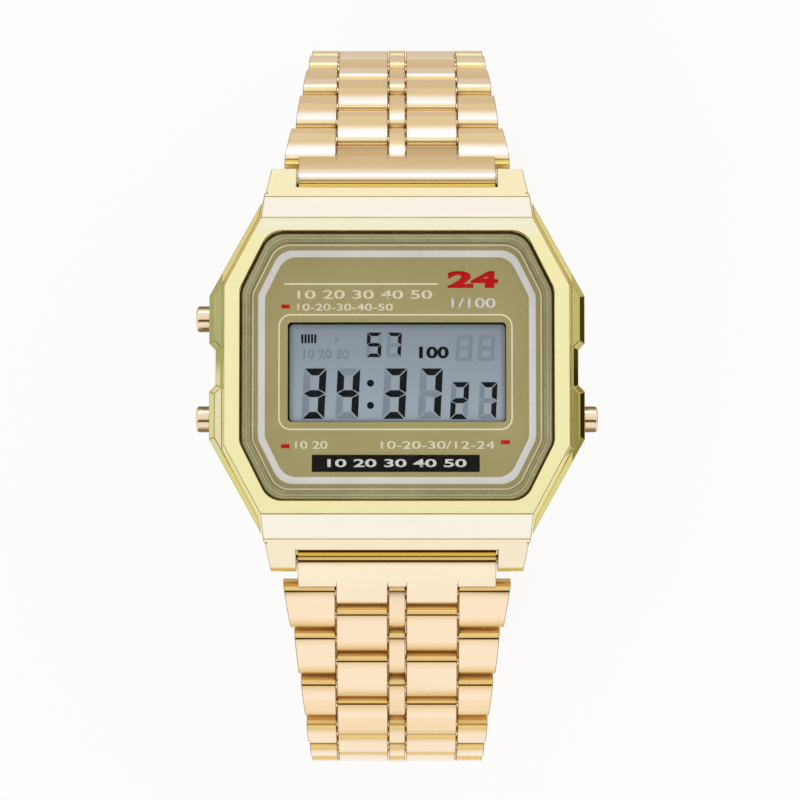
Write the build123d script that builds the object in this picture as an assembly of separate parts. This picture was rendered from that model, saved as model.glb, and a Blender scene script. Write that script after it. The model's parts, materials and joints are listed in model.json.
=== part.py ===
from build123d import *
import math
import os

# All lengths are in millimetres. The watch lies face up, with +Z out of the dial, +Y to
# 12 o'clock and +X to 3 o'clock. The closed bracelet stands on the flat of its clasp, and
# the origin is on that surface, under the middle of the whole watch.

# General clearances
overrun = 1.0
running_clearance = 0.05
seat_clearance = 0.01
panel_clearance = 0.1

# Case, seen from the front
case_height = 8.2
lug_half_length = 18.1
face_half_width = 15.3
face_setback = 4.95
face_corner_length = 6.05
face_corner_half_width = 12.05
face_flare = 0.35
facet_setback = 2.82
facet_half_width = 11.5
facet_height_share = 0.72
lug_half_width = 11.1
lug_tip_height_share = 0.45
lug_foot_height_share = 0.11
lug_nose_radius = 0.5
lug_gap = 18.0
notch_depth = 1.84
shoulder_height_share = 0.73
shoulder_chamfer = 0.5
shoulder_lug_half_width = 11.8
guard_half_width = 16.75
guard_setback = 6.75
recess_depth = 0.57
recess_length_share = 0.336
rim_height_share = 0.06
rim_setback = 4.1

# Opening for the crystal and the hollow behind it
opening_half_width = 13.9
opening_setback = 1.2
opening_corner_width = 2.57
opening_corner_length = 5.15
opening_end_radius = 1.9
opening_side_radius = 1.2
least_corner_radius = 0.2
ledge_width = 0.9
ledge_thickness_share = 0.049
cavity_inset = 0.3

# Crystal, its gasket and the printed face panel
crystal_thickness_share = 0.17
crystal_stand = 0.15
crystal_bevel_width = 0.7
crystal_bevel_depth = 0.45
crystal_clearance = 0.08
crystal_gasket_thickness = 0.3
panel_thickness_share = 0.049
window_width = 19.45
window_length = 8.9
window_shift = 0.45
window_corner_radius = 0.35

# Display and its light
lcd_width = 22.4
lcd_length = 11.6
lcd_thickness_share = 0.122
reflector_thickness = 0.15
guide_thickness_share = 0.073
layer_gap = 0.05
lamp_width = 0.6
lamp_length = 1.6
lamp_height = 0.5

# Module: frame, circuit board and what the board carries
frame_clearance = 0.4
frame_wall = 0.8
board_thickness_share = 0.073
strip_width = 1.2
strip_length = 19.0
chip_side = 4.4
chip_height = 0.7
chip_place_x = 8.6
chip_setback = 6.0
quartz_radius = 0.95
quartz_length = 5.6
quartz_setback = 4.54
quartz_place_x = 7.2

# Battery, its clip and the buzzer
battery_radius_share = 0.67
battery_thickness_share = 0.195
battery_rim = 0.5
battery_step = 0.2
battery_side_gap = 0.19
clip_thickness = 0.15
clip_width = 3.4
clip_overhang = 1.2
buzzer_radius = 6.2
buzzer_thickness = 0.2
buzzer_place_x = 5.4
buzzer_spring_radius = 0.8
buzzer_spring_wire = 0.2
buzzer_spring_turns = 3
buzzer_spring_place_share = 0.51

# Case back, its gasket and screws
back_thickness_share = 0.098
back_border = 1.55
back_gasket_width = 0.6
back_gasket_thickness = 0.4
screw_radius = 0.5
screw_head_radius = 0.8
screw_head_height = 0.4
screw_length = 2.6
screw_place_x = 14.15
screw_setback = 4.35
screw_slot_width = 0.25
screw_slot_depth = 0.2

# Pushers
pusher_radius = 1.175
pusher_setback = 1.9
pusher_height_share = 0.415
pusher_protrusion = 1.25
pusher_head_length = 1.9
pusher_nose_radius = 0.35
pusher_travel = 0.5
pusher_bore_clearance = 0.06
stem_radius = 0.6
stem_reach = 0.9
spring_chamber_depth = 2.15
pusher_spring_wire = 0.2
pusher_spring_radius = 0.88
pusher_spring_turns = 3
clip_ring_radius = 1.05
clip_ring_thickness = 0.3
seal_width = 0.4
seal_thickness = 0.35

# Spring bars in the lugs
lug_hole_inset = 1.1
lug_hole_height_share = 0.268
bar_radius = 0.75
bar_tip_radius = 0.4
bar_tip_length = 0.9
bar_end_gap = 0.15

# Bracelet links
link_pitch = 4.7
link_gap = 0.2
link_thickness = 2.2
link_end_radius = 0.85
crown_rise = 0.12
column_gap = 0.1
bracelet_width = 20.5
bead_width_share = 0.0732
middle_width_share = 0.2244
link_pin_radius = 0.45
link_pin_inset = 0.12
link_12_count = 10
link_6_count = 11
near_width_shares = (1.0, 0.907, 0.854, 0.81, 0.79)
far_width_shares = (0.932, 0.868, 0.815, 0.795, 0.785)
end_width_share = 0.78

# Lean of the end piece and of the first links below the plane of the dial, in degrees
lean_degrees_12 = (38, 39.5, 43, 56, 71, 83)
lean_degrees_6 = (24, 26, 28, 42, 67, 78, 88)
least_curl_power = 0.4
most_curl_power = 6.0

# End pieces between the lugs
end_pitch = 3.12
end_radius = 1.2
end_side_gap = 0.12
end_bar_reach = 2.2
cove_radius = 1.3
notch_cove_radius = 1.32

# Fold-over clasp, along its outer face from its middle
clasp_flat_half_length = 6.0
clasp_bend_radius = 30.0
clasp_reach = 17.5
clasp_pivot_height = 1.3
cover_thickness = 0.8
cover_wall = 0.8
cover_wall_height = 3.5
cover_end_setback = 3.3
fork_clearance = 0.15
ear_radius = 1.075
ear_width = 1.8
fork_depth = 1.3
blade_thickness = 0.7
blade_side_gap = 0.6
middle_blade_level = 1.4
inner_blade_level = 2.8
blade_hinge_setback = 5.0
blade_knuckle_radius = 1.03
blade_knuckle_half_width = 2.9
cover_hinge_setback = 5.1
cover_knuckle_radius = 0.8
clasp_pin_radius = 0.4
knuckle_gap = 0.12
knuckle_relief = 1.35
ramp_foot_drop = 0.55
ramp_foot_length = 1.3
ramp_run = 1.5

# Places along the case, worked out from its length
face_half_length = lug_half_length - face_setback
face_side_half_length = face_half_length - face_corner_length
facet_half_length = lug_half_length - facet_setback
notch_half_length = lug_half_length - notch_depth
rim_half_length = lug_half_length - rim_setback
guard_half_length = face_half_length - guard_setback
recess_half_length = guard_half_length * recess_length_share
pusher_place_y = guard_half_length - pusher_setback
opening_half_length = face_half_length - opening_setback
screw_place_y = opening_half_length - screw_setback
battery_radius = opening_half_length * battery_radius_share
module_half_width = opening_half_width - cavity_inset - frame_clearance - frame_wall
battery_place_x = battery_radius + battery_side_gap - module_half_width
battery_edge_x = battery_place_x + battery_radius
buzzer_spring_room = module_half_width - battery_edge_x
buzzer_spring_place_x = battery_edge_x + buzzer_spring_room * buzzer_spring_place_share
chip_place_y = opening_half_length - chip_setback
quartz_place_y = quartz_setback - opening_half_length
spring_bar_y = lug_half_length - lug_hole_inset

# Levels in the case, worked out from its height
facet_height = case_height * facet_height_share
lug_tip_height = case_height * lug_tip_height_share
lug_foot_height = case_height * lug_foot_height_share
lug_hole_height = case_height * lug_hole_height_share
shoulder_height = case_height * shoulder_height_share
rim_height = case_height * rim_height_share
pusher_height = case_height * pusher_height_share
back_thickness = case_height * back_thickness_share
crystal_thickness = case_height * crystal_thickness_share
ledge_thickness = case_height * ledge_thickness_share
panel_thickness = case_height * panel_thickness_share
lcd_thickness = case_height * lcd_thickness_share
guide_thickness = case_height * guide_thickness_share
board_thickness = case_height * board_thickness_share
battery_thickness = case_height * battery_thickness_share
ledge_top = case_height + crystal_stand - crystal_thickness - crystal_gasket_thickness
ledge_bottom = ledge_top - ledge_thickness
panel_top = ledge_bottom - layer_gap
lcd_top = panel_top - panel_thickness - layer_gap
lcd_bottom = lcd_top - lcd_thickness
reflector_bottom = lcd_bottom - layer_gap - reflector_thickness
guide_bottom = reflector_bottom - layer_gap - guide_thickness
board_top = guide_bottom - layer_gap
board_bottom = board_top - board_thickness
battery_top = board_bottom - layer_gap
battery_bottom = battery_top - battery_thickness
buzzer_top = back_thickness + layer_gap + buzzer_thickness

# Places across and along the bracelet and its clasp
link_half_thickness = link_thickness / 2
quarter_pitch = link_pitch / 4
bead_width = bracelet_width * bead_width_share
middle_width = bracelet_width * middle_width_share
bead_half_width = bead_width / 2
middle_inner = bead_half_width + column_gap
middle_outer = middle_inner + middle_width
outer_inner = middle_outer + column_gap
cover_half_width = bracelet_width * end_width_share / 2
blade_half_width = cover_half_width - cover_wall - blade_side_gap
cover_end = clasp_reach - cover_end_setback
blade_hinge_reach = clasp_reach - blade_hinge_setback
cover_hinge_reach = clasp_reach - cover_hinge_setback


def mirrored(points):
    """Points of one quarter, in order from the +X axis, repeated in all four quarters."""
    top = points + [(-x, y) for x, y in reversed(points)]
    return top + [(-x, -y) for x, y in top]


def slab(outline, low, high):
    return extrude(Pos(0, 0, low) * outline, amount=high - low)


def across(profile, start, end):
    """A profile drawn in Y and Z, made solid from one X to another."""
    return extrude(Plane.YZ.offset(start) * profile, amount=end - start)


def pin_across(y, z, radius, start, end):
    return across(Pos(y, z) * Circle(radius), start, end)


def on_circle(centre, radius, degrees):
    angle = math.radians(degrees)
    return (centre[0] + radius * math.cos(angle), centre[1] + radius * math.sin(angle))


def dial_outline(inset):
    """The long octagon of the opening, drawn in by an inset, with rounded corners."""
    lean = math.atan2(opening_corner_width, opening_corner_length)
    side_y = opening_half_length - opening_corner_length - inset * math.tan(lean / 2)
    end_x = opening_half_width - opening_corner_width - inset * math.tan((math.pi / 2 - lean) / 2)
    side_x = opening_half_width - inset
    outline = Polygon(*mirrored([(side_x, side_y), (end_x, opening_half_length - inset)]), align=None)
    limit = (side_x + end_x) / 2
    side_corners = [v for v in outline.vertices() if abs(v.X) > limit]
    outline = fillet(side_corners, max(opening_side_radius - inset, least_corner_radius))
    end_corners = [v for v in outline.vertices() if abs(abs(v.X) - end_x) < seat_clearance]
    return fillet(end_corners, max(opening_end_radius - inset, least_corner_radius))


def case_side_profile():
    """The case seen from 3 o'clock: flat face, facet, sloping lugs and underside."""
    half = [
        (rim_half_length, rim_height),
        (lug_half_length, lug_foot_height),
        (lug_half_length, lug_tip_height),
        (facet_half_length, facet_height),
        (face_half_length, case_height),
    ]
    outline = Polygon(*half, *[(-y, z) for y, z in reversed(half)], align=None)
    noses = [v for v in outline.vertices() if abs(v.X) > lug_half_length - seat_clearance]
    return fillet(noses, lug_nose_radius)


def case_upper_block():
    points = [
        (face_half_width, face_side_half_length),
        (face_corner_half_width, face_half_length),
        (facet_half_width, facet_half_length),
    ]
    top = Polygon(*mirrored(points), align=None)
    flared = Polygon(*mirrored([(x + face_flare, y + face_flare) for x, y in points]), align=None)
    foot = shoulder_height - shoulder_chamfer
    return loft([(Pos(0, 0, foot) * flared).face(), (Pos(0, 0, case_height) * top).face()], ruled=True)


def case_middle_block():
    points = [
        (guard_half_width - recess_depth, recess_half_length - recess_depth),
        (guard_half_width, recess_half_length),
        (guard_half_width, guard_half_length),
        (shoulder_lug_half_width, facet_half_length),
        (lug_half_width, lug_half_length + overrun),
    ]
    block = slab(Polygon(*mirrored(points), align=None), 0, shoulder_height)
    return chamfer(block.faces().sort_by(Axis.Z)[-1].edges(), shoulder_chamfer)


def pusher_places():
    """Side, height along Y and name of each pusher."""
    return [
        (-1, pusher_place_y, "upper_left"),
        (-1, -pusher_place_y, "lower_left"),
        (1, -pusher_place_y, "lower_right"),
    ]


def from_side(solid, side):
    """Turns a solid made on the 3 o'clock side to the 9 o'clock side when side is -1."""
    return solid if side > 0 else mirror(solid, Plane.YZ)


def case_body():
    body = (case_upper_block() + case_middle_block()) & across(
        case_side_profile(), -guard_half_width - overrun, guard_half_width + overrun
    )
    notch_length = lug_half_length - notch_half_length + overrun
    for end in (-1, 1):
        notch = Pos(0, end * (notch_half_length + notch_length / 2), case_height / 2)
        body -= notch * Box(lug_gap, notch_length, case_height + overrun)
        body -= pin_across(end * spring_bar_y, lug_hole_height, notch_cove_radius, -lug_gap / 2, lug_gap / 2)
        hole = lug_gap / 2 + bar_tip_length + bar_end_gap
        body -= pin_across(end * spring_bar_y, lug_hole_height, bar_tip_radius + running_clearance, -hole, hole)
    body -= slab(dial_outline(0), ledge_top, case_height + overrun)
    body -= slab(dial_outline(ledge_width), ledge_bottom - overrun, ledge_top + overrun)
    body -= slab(dial_outline(cavity_inset), 0, ledge_bottom)
    body -= slab(back_outline(-panel_clearance), 0, back_thickness)
    for x, y in screw_places():
        body -= Pos(x, y, 0) * slab(Circle(screw_radius + seat_clearance), 0, screw_length + layer_gap)
    wall_inside = opening_half_width - cavity_inset - overrun
    for side, y, _ in pusher_places():
        bore = pin_across(y, pusher_height, stem_radius + running_clearance, wall_inside, guard_half_width)
        bore += pin_across(
            y, pusher_height, pusher_radius + pusher_bore_clearance,
            guard_half_width - spring_chamber_depth, guard_half_width + overrun,
        )
        bore += pin_across(y, pusher_height, stem_radius + seal_width, seal_start(), seal_start() + seal_thickness)
        body -= from_side(bore, side)
    return [body.solid()]


def seal_start():
    """X where the seal's groove starts, in the middle of the wall behind the spring."""
    inside = opening_half_width - cavity_inset
    return (inside + guard_half_width - spring_chamber_depth - seal_thickness) / 2


def crystal():
    top = case_height + crystal_stand
    blank = slab(dial_outline(crystal_clearance), top - crystal_thickness, top - crystal_bevel_depth)
    low = Pos(0, 0, top - crystal_bevel_depth) * dial_outline(crystal_clearance)
    high = Pos(0, 0, top) * dial_outline(crystal_clearance + crystal_bevel_width)
    return [(blank + loft([low.face(), high.face()], ruled=True)).solid()]


def crystal_gasket():
    ring = dial_outline(crystal_clearance) - dial_outline(ledge_width)
    return [slab(ring, ledge_top, ledge_top + crystal_gasket_thickness - seat_clearance).solid()]


def face_panel():
    window = Pos(0, -window_shift) * RectangleRounded(window_width, window_length, window_corner_radius)
    panel = dial_outline(cavity_inset + panel_clearance) - window
    return [slab(panel, panel_top - panel_thickness, panel_top).solid()]


def display_plate(width, length, low, high):
    return slab(Pos(0, -window_shift) * Rectangle(width, length), low, high).solid()


def lcd_glass():
    return [display_plate(lcd_width, lcd_length, lcd_bottom, lcd_top)]


def lcd_reflector():
    inner_length = lcd_length - 2 * (strip_width + panel_clearance)
    return [display_plate(lcd_width, inner_length, reflector_bottom, lcd_bottom - layer_gap)]


def light_guide():
    inner_length = lcd_length - 2 * (strip_width + panel_clearance)
    return [display_plate(strip_length, inner_length, guide_bottom, guide_bottom + guide_thickness)]


def lamp():
    x = -strip_length / 2 - layer_gap - lamp_width / 2
    lens = Pos(x, -window_shift) * Rectangle(lamp_width, lamp_length)
    return [slab(lens, board_top, board_top + lamp_height).solid()]


def connector_strips():
    strips = []
    for end in (-1, 1):
        y = -window_shift + end * (lcd_length - strip_width) / 2
        strip = Pos(0, y) * Rectangle(strip_length, strip_width)
        strips.append(slab(strip, board_top, lcd_bottom - seat_clearance).solid())
    return strips


def module_frame():
    low = battery_bottom
    outline = dial_outline(cavity_inset + frame_clearance)
    frame = slab(outline, low, lcd_top - layer_gap)
    display_room = Rectangle(lcd_width + 2 * panel_clearance, lcd_length + 2 * panel_clearance)
    frame -= slab(Pos(0, -window_shift) * display_room, low, lcd_top)
    frame -= slab(dial_outline(cavity_inset + frame_clearance + frame_wall), low, board_top + panel_clearance)
    finger_room = clip_ring_radius + panel_clearance
    for side, y, _ in pusher_places():
        slot = Box(2 * (frame_clearance + frame_wall + stem_reach), 2 * finger_room, 2 * finger_room)
        frame -= Pos(side * (opening_half_width - cavity_inset), y, pusher_height) * slot
    return [frame.solids().sort_by(SortBy.VOLUME)[-1]]


def circuit_board():
    outline = dial_outline(cavity_inset + frame_clearance + frame_wall + panel_clearance)
    board = slab(outline, board_bottom, board_top)
    room = stem_reach + pusher_travel + panel_clearance
    half = clip_ring_radius + panel_clearance
    for side, y, _ in pusher_places():
        slot = Box(2 * room, 2 * half, 2 * half)
        board -= Pos(side * (opening_half_width - cavity_inset), y, pusher_height) * slot
    return [board.solid()]


def controller_chip():
    chip = Pos(chip_place_x, chip_place_y) * Rectangle(chip_side, chip_side)
    return [slab(chip, board_bottom - chip_height, board_bottom).solid()]


def quartz_can():
    z = board_bottom - quartz_radius
    can = pin_across(quartz_place_y, z, quartz_radius - seat_clearance, quartz_place_x - quartz_length / 2,
                     quartz_place_x + quartz_length / 2)
    return [can.solid()]


def battery():
    step = battery_top - battery_step
    cell = slab(Circle(battery_radius), battery_bottom, step)
    cell += slab(Circle(battery_radius - battery_rim), step, battery_top)
    return [(Pos(battery_place_x, 0, 0) * cell).solid()]


def battery_clip():
    """A spring strap under the cell, with a tab down each side from the board."""
    reach = battery_radius + clip_overhang
    low = battery_bottom - clip_thickness
    strap = slab(Rectangle(clip_width, 2 * reach), low, battery_bottom - seat_clearance)
    for end in (-1, 1):
        tab = Pos(0, end * (reach - clip_thickness / 2)) * Rectangle(clip_width, clip_thickness)
        strap += slab(tab, low, board_bottom - seat_clearance)
    return [(Pos(battery_place_x, 0, 0) * strap).solid()]


def coil(radius, wire, turns, length):
    """A spring along Z from zero, its wire one unbroken tube, its length overall."""
    rise = length - 2 * wire
    path = Helix(pitch=rise / turns, height=rise, radius=radius)
    start = path @ 0
    section = Plane(origin=start, z_dir=path % 0) * Circle(wire)
    return Pos(0, 0, wire) * sweep(section, path=path, is_frenet=True)


def buzzer_disc():
    disc = slab(Circle(buzzer_radius), back_thickness + layer_gap, buzzer_top)
    return [(Pos(buzzer_place_x, 0, 0) * disc).solid()]


def buzzer_spring():
    length = board_bottom - buzzer_top - 2 * seat_clearance
    spring = coil(buzzer_spring_radius, buzzer_spring_wire / 2, buzzer_spring_turns, length)
    return [(Pos(buzzer_spring_place_x, 0, buzzer_top + seat_clearance) * spring).solid()]


def back_outline(inset):
    return dial_outline(inset - back_border)


def screw_places():
    return [(sx * screw_place_x, sy * screw_place_y) for sx in (-1, 1) for sy in (-1, 1)]


def case_back():
    plate = slab(back_outline(0), 0, back_thickness)
    for x, y in screw_places():
        plate -= Pos(x, y, 0) * slab(Circle(screw_head_radius + seat_clearance), 0, screw_head_height)
        plate -= Pos(x, y, 0) * slab(Circle(screw_radius + running_clearance), 0, back_thickness)
    return [plate.solid()]


def case_back_gasket():
    groove_inset = cavity_inset + panel_clearance
    ring = dial_outline(groove_inset) - dial_outline(groove_inset + back_gasket_width)
    top = back_thickness + back_gasket_thickness
    return [slab(ring, back_thickness + seat_clearance, top).solid()]


def case_back_screws():
    screws = []
    for x, y in screw_places():
        screw = slab(Circle(screw_head_radius), 0, screw_head_height - seat_clearance)
        screw += slab(Circle(screw_radius), 0, screw_length)
        screw -= slab(Rectangle(2 * screw_head_radius, screw_slot_width), 0, screw_slot_depth)
        screws.append((Pos(x, y, 0) * screw).solid())
    return screws


def pusher(side, y):
    """Head, stem and the ring that keeps the pusher from coming out of its bore."""
    tip = guard_half_width + pusher_protrusion
    inside = opening_half_width - cavity_inset
    head = pin_across(0, 0, pusher_radius, tip - pusher_head_length, tip)
    head = fillet(head.faces().sort_by(Axis.X)[-1].edges(), pusher_nose_radius)
    stem = pin_across(0, 0, stem_radius, inside - stem_reach, tip - pusher_nose_radius)
    ring_end = inside - panel_clearance
    ring = pin_across(0, 0, clip_ring_radius, ring_end - clip_ring_thickness, ring_end)
    ring -= pin_across(0, 0, stem_radius + seat_clearance, ring_end - clip_ring_thickness, ring_end)
    place = Pos(0, y, pusher_height)
    return [from_side(place * solid, side).solid() for solid in (head + stem, ring)]


def pusher_spring(side, y):
    start = guard_half_width - spring_chamber_depth + seat_clearance
    end = guard_half_width + pusher_protrusion - pusher_head_length - seat_clearance
    spring = coil(pusher_spring_radius, pusher_spring_wire / 2, pusher_spring_turns, end - start)
    spring = Pos(start, y, pusher_height) * Rot(Y=90) * spring
    return [from_side(spring, side).solid()]


def pusher_seals():
    seals = []
    for side, y, _ in pusher_places():
        start = seal_start() + seat_clearance
        end = seal_start() + seal_thickness - seat_clearance
        seal = pin_across(y, pusher_height, stem_radius + seal_width - seat_clearance, start, end)
        seal -= pin_across(y, pusher_height, stem_radius + running_clearance, start, end)
        seals.append(from_side(seal, side).solid())
    return seals


def spring_bar(y, z, body_half_length, tip_half_length):
    bar = pin_across(y, z, bar_radius, -body_half_length, body_half_length)
    bar += pin_across(y, z, bar_tip_radius, -tip_half_length, tip_half_length)
    return bar.solid()


def lug_spring_bars():
    body = lug_gap / 2 - end_side_gap
    tip = lug_gap / 2 + bar_tip_length
    return [spring_bar(end * spring_bar_y, lug_hole_height, body, tip) for end in (1, -1)]


def plate_profile(start, end):
    """Section of a bracelet piece along the chain: rounded ends and a crowned outer face."""
    low_centre = -link_half_thickness + link_end_radius
    high_centre = link_half_thickness - link_end_radius
    middle = (start + end) / 2
    half_run = (end - start) / 2 - link_end_radius
    top_rise = high_centre + crown_rise
    depth = (half_run ** 2 + high_centre ** 2 - top_rise ** 2) / (2 * crown_rise)
    turn = math.degrees(math.atan2(high_centre + depth, half_run))
    left, right = start + link_end_radius, end - link_end_radius
    crown = (middle, link_half_thickness + crown_rise)
    right_low = [on_circle((right, low_centre), link_end_radius, a) for a in (-90, -45, 0)]
    right_high = [on_circle((right, high_centre), link_end_radius, a) for a in (0, turn / 2, turn)]
    left_high = [(start + end - s, n) for s, n in reversed(right_high)]
    left_low = [(start + end - s, n) for s, n in reversed(right_low)]
    outline = ThreePointArc(*right_low) + Line(right_low[2], right_high[0])
    outline += ThreePointArc(*right_high) + ThreePointArc(right_high[2], crown, left_high[0])
    outline += ThreePointArc(*left_high) + Line(left_high[2], left_low[0])
    outline += ThreePointArc(*left_low) + Line(left_low[2], right_low[0])
    return make_face(outline)


def half_width_near(index):
    share = near_width_shares[index] if index < len(near_width_shares) else end_width_share
    return bracelet_width * share / 2


def half_width_far(index):
    share = far_width_shares[index] if index < len(far_width_shares) else end_width_share
    return bracelet_width * share / 2


def half_width_at(index, along):
    """Half the width of a link at a place along it, counted from its first pin."""
    run = along + quarter_pitch
    return half_width_near(index) + (half_width_far(index) - half_width_near(index)) * run / link_pitch


def link_pieces(index):
    """One pitch of bracelet with its first pin at the origin and the chain along +Y."""
    start = -quarter_pitch + link_gap / 2
    end = 3 * quarter_pitch - link_gap / 2
    profile = plate_profile(start, end)
    shifted = plate_profile(start + 2 * quarter_pitch, end + 2 * quarter_pitch)
    fixed_bore = link_pin_radius + seat_clearance
    free_bore = link_pin_radius + running_clearance
    near, far = half_width_at(index, start), half_width_at(index, end)
    outer = across(profile, outer_inner, near)
    side = Plane(origin=(near, start, 0), x_dir=(0, 0, 1), z_dir=(end - start, near - far, 0))
    outer = split(outer, bisect_by=side, keep=Keep.BOTTOM)
    bead = across(profile, -bead_half_width, bead_half_width)
    middle = across(shifted, middle_inner, middle_outer)
    for place in (0, 2 * quarter_pitch):
        outer -= pin_across(place, 0, fixed_bore, 0, bracelet_width)
        bead -= pin_across(place, 0, fixed_bore, -bead_width, bead_width)
    middle -= pin_across(2 * quarter_pitch, 0, fixed_bore, 0, bracelet_width)
    middle -= pin_across(link_pitch, 0, free_bore, 0, bracelet_width)
    pins = []
    for place in (0, 2 * quarter_pitch):
        reach = half_width_at(index, place + link_pin_radius) - link_pin_inset
        pins.append(pin_across(place, 0, link_pin_radius, -reach, reach))
    pieces = [outer, mirror(outer, Plane.YZ), bead, middle, mirror(middle, Plane.YZ)] + pins
    return [piece.solid() for piece in pieces]


def end_piece_pieces():
    """The bar between the lugs with its two fingers, its spring bar at the origin."""
    lip = math.sqrt(cove_radius ** 2 - (end_pitch - end_bar_reach) ** 2)
    outline = Line((0, end_radius), (end_bar_reach, end_radius))
    outline += Line((end_bar_reach, end_radius), (end_bar_reach, lip))
    outline += ThreePointArc((end_bar_reach, lip), (end_pitch - cove_radius, 0), (end_bar_reach, -lip))
    outline += Line((end_bar_reach, -lip), (end_bar_reach, -end_radius))
    outline += Line((end_bar_reach, -end_radius), (0, -end_radius))
    outline += ThreePointArc((0, -end_radius), (-end_radius, 0), (0, end_radius))
    half = lug_gap / 2 - end_side_gap
    piece = across(make_face(outline), -half, half)
    finger = across(plate_profile(0, end_pitch + quarter_pitch - link_gap / 2), middle_inner, middle_outer)
    piece += finger + mirror(finger, Plane.YZ)
    piece -= pin_across(0, 0, bar_radius + running_clearance, -half, half)
    piece -= pin_across(end_pitch, 0, link_pin_radius + running_clearance, -half, half)
    return [piece.solid()]


def clasp_point(along, height):
    """Place in Y and Z of a point along the clasp's outer face and above it."""
    beyond = abs(along) - clasp_flat_half_length
    if beyond <= 0:
        return (along, height)
    angle = beyond / clasp_bend_radius
    y = clasp_flat_half_length + (clasp_bend_radius - height) * math.sin(angle)
    z = clasp_bend_radius - (clasp_bend_radius - height) * math.cos(angle)
    return (math.copysign(y, along), z)


def clasp_lean():
    """Slope of the clasp's outer face at its pivots, in degrees."""
    return math.degrees((clasp_reach - clasp_flat_half_length) / clasp_bend_radius)


def clasp_path(start, end, height):
    """The line from one place along the clasp to another, at one height above it."""
    flat = clasp_flat_half_length
    stops = [start] + [stop for stop in (-flat, flat) if start < stop < end] + [end]
    path = []
    for first, last in zip(stops, stops[1:]):
        ends = (clasp_point(first, height), clasp_point(last, height))
        if first >= -flat and last <= flat:
            path.append(Line(*ends))
        else:
            path.append(ThreePointArc(ends[0], clasp_point((first + last) / 2, height), ends[1]))
    return path


def clasp_band(start, end, low, high):
    """Section of a strip that follows the clasp's curve between two heights."""
    outline = clasp_path(start, end, low) + clasp_path(start, end, high)
    outline.append(Line(clasp_point(start, low), clasp_point(start, high)))
    outline.append(Line(clasp_point(end, low), clasp_point(end, high)))
    return make_face(outline)


def both_sides(solid):
    return solid + mirror(solid, Plane.YZ)


def ear_profile(side, reach_in):
    """An ear round a clasp pivot and its neck, which runs in towards the clasp's middle."""
    pivot = clasp_point(side * clasp_reach, clasp_pivot_height)
    inner = clasp_reach - reach_in
    low, high = clasp_pivot_height - ear_radius, clasp_pivot_height + ear_radius
    span = (inner, clasp_reach) if side > 0 else (-clasp_reach, -inner)
    return clasp_band(*span, low, high) + Pos(*pivot) * Circle(ear_radius)


def clasp_cover():
    fork_end = clasp_reach - fork_depth
    fork_inner = middle_outer + fork_clearance
    half = cover_half_width
    cover = across(clasp_band(-fork_end, cover_end, 0, cover_thickness), -half, half)
    wall = across(clasp_band(-fork_end, cover_end, 0, cover_wall_height), half - cover_wall, half)
    wall += across(ear_profile(-1, fork_depth + ear_radius), fork_inner, half)
    cover += both_sides(wall)
    pivot = clasp_point(-clasp_reach, clasp_pivot_height)
    cover -= pin_across(*pivot, bar_tip_radius + running_clearance, -half, half)
    cover -= pin_across(*cover_hinge(), clasp_pin_radius + seat_clearance, -half, half)
    return [cover.solid()]


def cover_hinge():
    return clasp_point(cover_hinge_reach, middle_blade_level + blade_thickness / 2)


def blade_hinge():
    middle_height = (middle_blade_level + inner_blade_level + blade_thickness) / 2
    return clasp_point(-blade_hinge_reach, middle_height)


def middle_blade():
    """The blade between the two fold hinges, with one knuckle at each end."""
    relief = blade_hinge_reach - knuckle_relief
    low, high = middle_blade_level, middle_blade_level + blade_thickness
    half = blade_half_width
    blade = across(clasp_band(-relief, cover_hinge_reach, low, high), -half, half)
    knuckle = blade_knuckle_half_width
    blade += across(clasp_band(-blade_hinge_reach, -relief, low, high), -knuckle, knuckle)
    blade += pin_across(*blade_hinge(), blade_knuckle_radius, -knuckle, knuckle)
    blade += pin_across(*cover_hinge(), cover_knuckle_radius, -half, half)
    blade -= pin_across(*blade_hinge(), clasp_pin_radius + seat_clearance, -half, half)
    blade -= pin_across(*cover_hinge(), clasp_pin_radius + running_clearance, -half, half)
    return [blade.solid()]


def inner_blade():
    """The blade next to the wrist, with two knuckles and the fork for the last link."""
    relief = blade_hinge_reach - knuckle_relief
    low, high = inner_blade_level, inner_blade_level + blade_thickness
    half = blade_half_width
    foot_in = clasp_reach - fork_depth - ramp_foot_length
    ramp_top = foot_in - ramp_run
    blade = across(clasp_band(-relief, ramp_top, low, high), -half, half)
    foot_low = clasp_pivot_height - ramp_foot_drop
    foot_high = clasp_pivot_height + ramp_foot_drop
    ramp = Polygon(
        clasp_point(ramp_top, low), clasp_point(foot_in, foot_low),
        clasp_point(foot_in + blade_thickness / 2, foot_low),
        clasp_point(foot_in + blade_thickness / 2, foot_high), clasp_point(ramp_top, high), align=None,
    )
    fork_inner = middle_outer + fork_clearance
    fork_outer = fork_inner + ear_width
    blade += across(ramp, -half, half)
    foot = clasp_band(foot_in, clasp_reach - fork_depth, foot_low, foot_high)
    blade += across(foot, -fork_outer, fork_outer)
    knuckle_inner = blade_knuckle_half_width + knuckle_gap
    knuckle = across(clasp_band(-blade_hinge_reach, -relief, low, high), knuckle_inner, half)
    knuckle += pin_across(*blade_hinge(), blade_knuckle_radius, knuckle_inner, half)
    ear = across(ear_profile(1, fork_depth + ramp_foot_drop), fork_inner, fork_outer)
    blade += both_sides(knuckle) + both_sides(ear)
    pivot = clasp_point(clasp_reach, clasp_pivot_height)
    blade -= pin_across(*blade_hinge(), clasp_pin_radius + running_clearance, -half, half)
    blade -= pin_across(*pivot, link_pin_radius + seat_clearance, -fork_outer, fork_outer)
    return [blade.solid()]


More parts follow.
